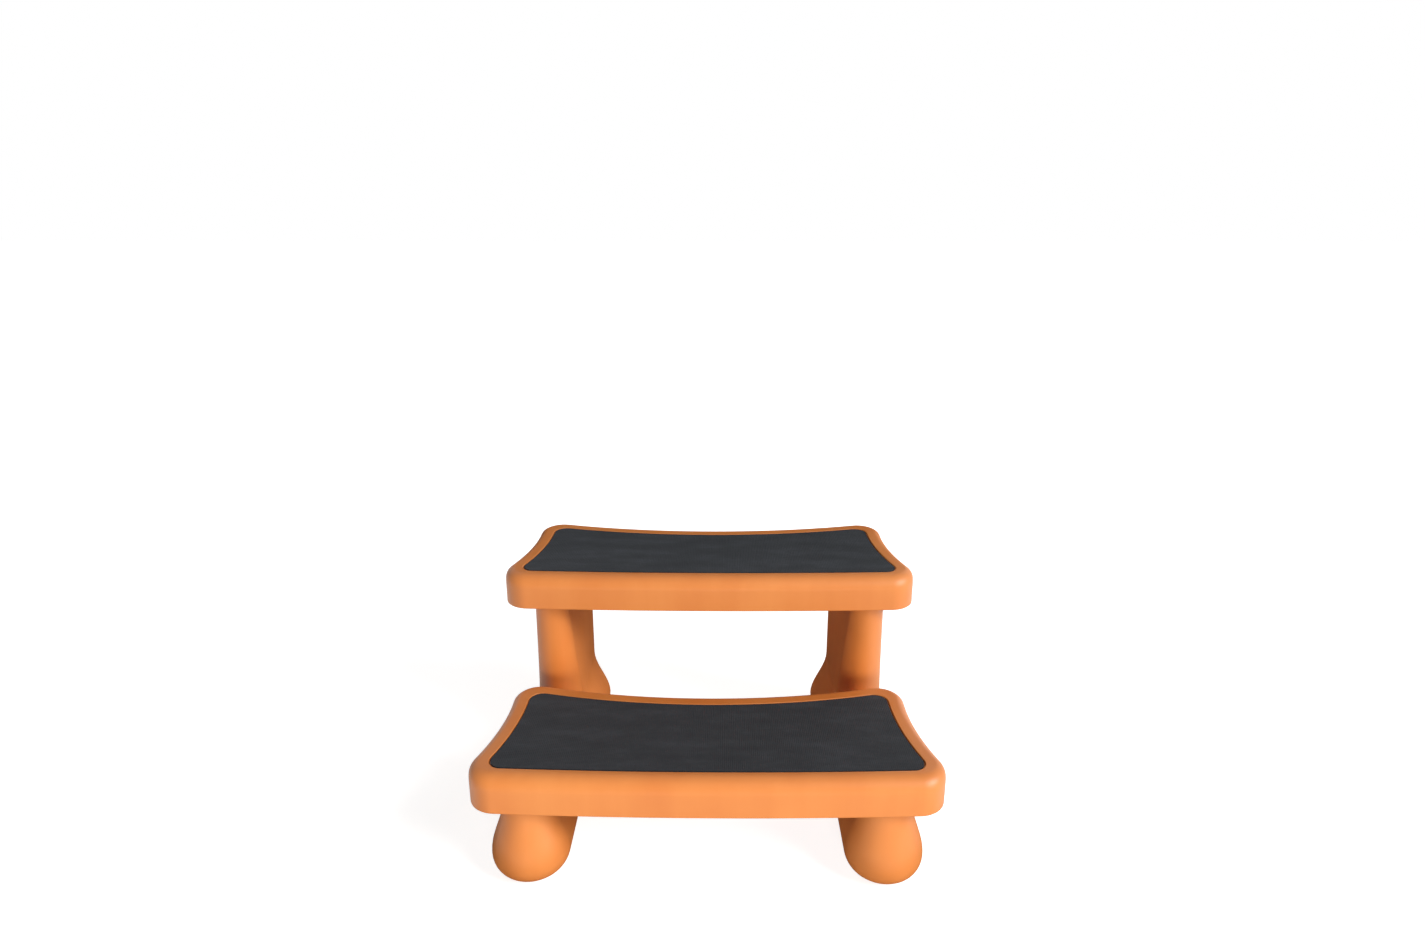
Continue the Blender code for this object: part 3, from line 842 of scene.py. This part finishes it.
for hand in hands:
    railScrews = [f"{hand}_{place}_rail_screw" for place in ("front", "rear")]
    makeRail(f"{hand}RailChannel", f"{hand}_side_rail", railScrews)
print("rails made")


# legs: one profile swung round both ends and drawn straight between them


def legGrowth(z, bulge, flareTop):  # how far the skin stands out from the plain shaft
    rise = z - legShape["bulgeHeight"]
    if rise < 0:
        share = min(1.0, -rise / (legShape["bulgeHeight"] - legShape["padProud"]))
        return bulge - (bulge - legShape["footFlat"]) * (1 - math.sqrt(1 - share**2))
    share = min(1.0, rise / (flareTop - legShape["bulgeHeight"]))
    return bulge * (0.5 + 0.5 * math.cos(math.pi * share)) ** legShape["flarePower"]


def legHeights(flareTop):
    foot = legShape["bulgeHeight"] - legShape["padProud"]
    turns = [math.pi / 2 * step / legShape["footSteps"] for step in range(legShape["footSteps"])]
    rise = (flareTop - legShape["bulgeHeight"]) / legShape["flareSteps"]
    heights = [legShape["bulgeHeight"] - foot * math.cos(turn) for turn in turns]
    return heights + [legShape["bulgeHeight"] + rise * step for step in range(legShape["flareSteps"] + 1)]


def legSlims(leg, low):  # rings of the shaft, each with what comes off its front's inner and outer side
    rise = leg["shoulder"] - low
    if rise < near:
        return []
    shares = [(step / legShape["slimSteps"]) ** 2 for step in range(legShape["slimSteps"] + 1)]
    inner, outer = legShape["innerSlim"], legShape["outerSlim"]
    return [(low + rise * share, inner * share, outer * math.sqrt(share)) for share in shares]


def makeLeg(name, node, leg, hand, bulge, backBulge, treadBores, railScrew):
    side = hands[hand]
    middleX = side * leg["middleX"]
    radius = leg["radius"]
    frontMiddle = Vector((middleX, leg["front"] + radius, 0))
    backMiddle = Vector((middleX, leg["back"] - radius, 0))
    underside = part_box("lower_tread")[0].z
    flareTop = underside - legShape["flareDrop"]
    heights = legHeights(flareTop)
    slims = legSlims(leg, underside)
    padCeiling = legShape["padThickness"] + seat
    padReach = radius + legShape["footFlat"] - legShape["padInset"] + seat
    profile = [(0, padCeiling), (padReach, padCeiling), (padReach, legShape["padProud"])]
    profile += [(radius + legGrowth(z, bulge, flareTop), z) for z in heights]
    profile += [(radius, z) for z, inner, outer in slims]
    profile += [(radius, leg["shoulder"] + tread["collarRecess"])]
    profile += [(radius, leg["top"]), (0, leg["top"])]

    piece = startPoint(name, frontMiddle + Vector((0, 0, padCeiling)))
    drawProfile(profile)
    swing(frontMiddle, -math.pi, legShape["endSteps"])
    weld()
    pick("EDGE", lambda edge: all(abs(vert.co.y - frontMiddle.y) < near for vert in edge.verts))
    drawOut(backMiddle - frontMiddle)
    pick(
        "EDGE",
        lambda edge: all(abs(v.co.y - backMiddle.y) < near and v.co.x > middleX - near for v in edge.verts),
    )
    swing(backMiddle, math.pi, legShape["endSteps"])
    weld()
    for z, inner, outer in slims[1:]:
        keep = 1 - (inner + outer) / 2 / radius
        pivotX = middleX + side * radius * (inner - outer) / (inner + outer)
        pick("VERT", lambda vert: abs(vert.co.z - z) < near and vert.co.y < frontMiddle.y + near)
        bpy.ops.transform.resize(value=(keep, keep, 1), center_override=(pivotX, leg["front"], z))
    if backBulge != bulge:
        for z in heights:
            share = (radius + legGrowth(z, backBulge, flareTop)) / (radius + legGrowth(z, bulge, flareTop))
            pick("VERT", lambda vert: abs(vert.co.z - z) < near and vert.co.y > backMiddle.y + near)
            bpy.ops.transform.resize(value=(1, share, 1), center_override=(middleX, backMiddle.y, z))
    bpy.ops.object.mode_set(mode="OBJECT")

    cutAway(piece, railBlock("railSlot", f"{hand}_side_rail", seat))
    for screw in (*treadBores, railScrew):
        boreFor(piece, screw)
    low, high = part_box(railScrew)
    innerX = side * (leg["middleX"] - radius)
    spot = boreX(
        "spotFace",
        innerX - side * overcut,
        innerX + side * screwShape["spotFace"],
        (low.y + high.y) / 2,
        (low.z + high.z) / 2,
        screwShape["headRadius"] + 2 * seat,
    )
    cutAway(piece, spot)
    finishPiece(piece, orangePlastic, "orange_plastic", node)


padShape = {"round": 0.0008, "roundSteps": 3, "border": 0.004, "groove": 0.0010, "grooveWidth": 0.003}


def makePad(name, node, leg, side):
    low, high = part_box(node)
    inset = legShape["padInset"] - legShape["footFlat"]
    piece = legSpace(name, leg, side, -inset, low.z, high.z)
    pick("EDGE", atHeight(low.z))
    bpy.ops.mesh.bevel(
        offset=padShape["round"], segments=padShape["roundSteps"], affect="EDGES", clamp_overlap=False
    )
    pick(
        "FACE",
        lambda face: face.normal.z < straightDown and abs(face.calc_center_median().z - low.z) < near,
    )
    bpy.ops.mesh.inset(thickness=padShape["border"], use_even_offset=True)
    drawOut((0, 0, padShape["groove"]))
    bpy.ops.mesh.inset(thickness=padShape["grooveWidth"], use_even_offset=True)
    drawOut((0, 0, -padShape["groove"]))
    finishPiece(piece, blackRubber, "pad_rubber", node)


legKinds = (  # place, the tread it carries, leg, bulge of its foot in front and behind
    ("front", "lower", frontLeg, legShape["frontBulge"], legShape["frontBulge"]),
    ("rear", "upper", rearLeg, legShape["rearBulge"], legShape["rearBackBulge"]),
)
for hand, side in hands.items():
    for place, level, leg, bulge, backBulge in legKinds:
        makeLeg(
            f"{hand}{place.title()}LegMoulding",
            f"{hand}_{place}_leg",
            leg,
            hand,
            bulge,
            backBulge,
            treadScrews(hand, level),
            f"{hand}_{place}_rail_screw",
        )
    for place, level, leg, bulge, backBulge in legKinds:
        makePad(f"{hand}{place.title()}FootPad", f"{hand}_{place}_leg_pad", leg, side)
print("legs and pads made")


# mats: ribbed sheet, cut to the tread's outline

matShape = {
    "ribPitch": 0.003,
    "ribHeight": 0.0003,
    "land": 0.35,  # the top of a rib and each of its slopes, as shares of the pitch
    "slope": 0.12,
    "spareRibs": 2,  # past the mat's ends, to be cut off
}


def makeMat(name, node, treadNode):
    low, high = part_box(node)
    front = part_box(treadNode)[0].y
    pitch, rib = matShape["ribPitch"], matShape["ribHeight"]
    count = math.ceil((high.x - low.x) / pitch) + matShape["spareRibs"]
    land, slope = matShape["land"] * pitch, matShape["slope"] * pitch
    piece = startPoint(name, (-count * pitch / 2, low.y - overcut, high.z - rib))
    for move in ((slope, 0, rib), (land, 0, 0), (slope, 0, -rib), (pitch - land - 2 * slope, 0, 0)):
        drawOut(move)
    applyModifier(
        piece,
        "ARRAY",
        count=count,
        use_relative_offset=False,
        use_constant_offset=True,
        constant_offset_displace=(pitch, 0, 0),
        use_merge_vertices=True,
        merge_threshold=near,
    )
    bpy.ops.object.mode_set(mode="EDIT")
    bpy.ops.mesh.select_mode(type="EDGE")
    bpy.ops.mesh.select_all(action="SELECT")
    drawOut((0, high.y - low.y + 2 * overcut, 0))
    bpy.ops.mesh.select_all(action="SELECT")
    drawOut((0, 0, low.z - high.z - overcut))
    weld()
    corners = tread["recessFrontCorner"], tread["recessRearCorner"]
    outline = treadPrism("matOutline", front, low.z, high.z + overcut, tread["rim"], *corners)
    cutAway(piece, outline, "INTERSECT")
    finishPiece(piece, ribbedRubber, "mat_rubber", node)


for level in ("lower", "upper"):
    makeMat(f"{level}RibbedMat", f"{level}_mat", f"{level}_tread")
print("mats made")


# screws: pan heads with a cross recess, one of each length copied to its places


def makeScrew(name, length):  # stands on its tip, the head's underside at the origin
    radius, height, shank = screwShape["headRadius"], screwShape["head"], screwShape["shank"]
    profile = [(reach * radius, z * height) for reach, z in screwShape["headOutline"]]
    profile += [(shank, 0), (shank, shank - length), (0, -length)]
    piece = startPoint(name, (0, 0, height))
    drawProfile(profile)
    swing((0, 0, 0), math.tau, screwShape["turnSteps"])
    weld()
    bpy.ops.object.mode_set(mode="OBJECT")
    half, thin = screwShape["crossLength"] / 2, screwShape["crossWidth"] / 2
    slotLow, slotHigh = height - screwShape["crossDepth"], height + overcut
    cutAway(piece, block("slotX", (-half, -thin, slotLow), (half, thin, slotHigh)))
    cutAway(piece, block("slotY", (-thin, -half, slotLow), (thin, half, slotHigh)))
    return piece


screwNodes = sorted(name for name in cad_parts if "screw" in name)
screwLengths = {}
for node in screwNodes:
    low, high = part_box(node)
    length = round(high.x - low.x - screwShape["head"], 4)  # to 0.1 mm
    screwLengths.setdefault(length, []).append(node)
for length, nodes in screwLengths.items():
    pattern = makeScrew("screwPattern", length)
    for node in nodes:
        low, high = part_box(node)
        side = 1 if low.x > 0 else -1
        headFace = low.x + screwShape["head"] if side > 0 else high.x - screwShape["head"]
        makeActive(pattern)
        bpy.ops.object.duplicate()
        copy = bpy.context.object
        copy.name = node + "_panHead"
        copy.rotation_euler = (0, -side * math.pi / 2, 0)
        copy.location = (headFace, (low.y + high.y) / 2, (low.z + high.z) / 2)
        bpy.ops.object.transform_apply(location=True, rotation=True, scale=True)
        finishPiece(copy, screwFinish, "screw_steel", node)
    bpy.data.objects.remove(pattern, do_unlink=True)
print("screws made:", len(screwNodes))
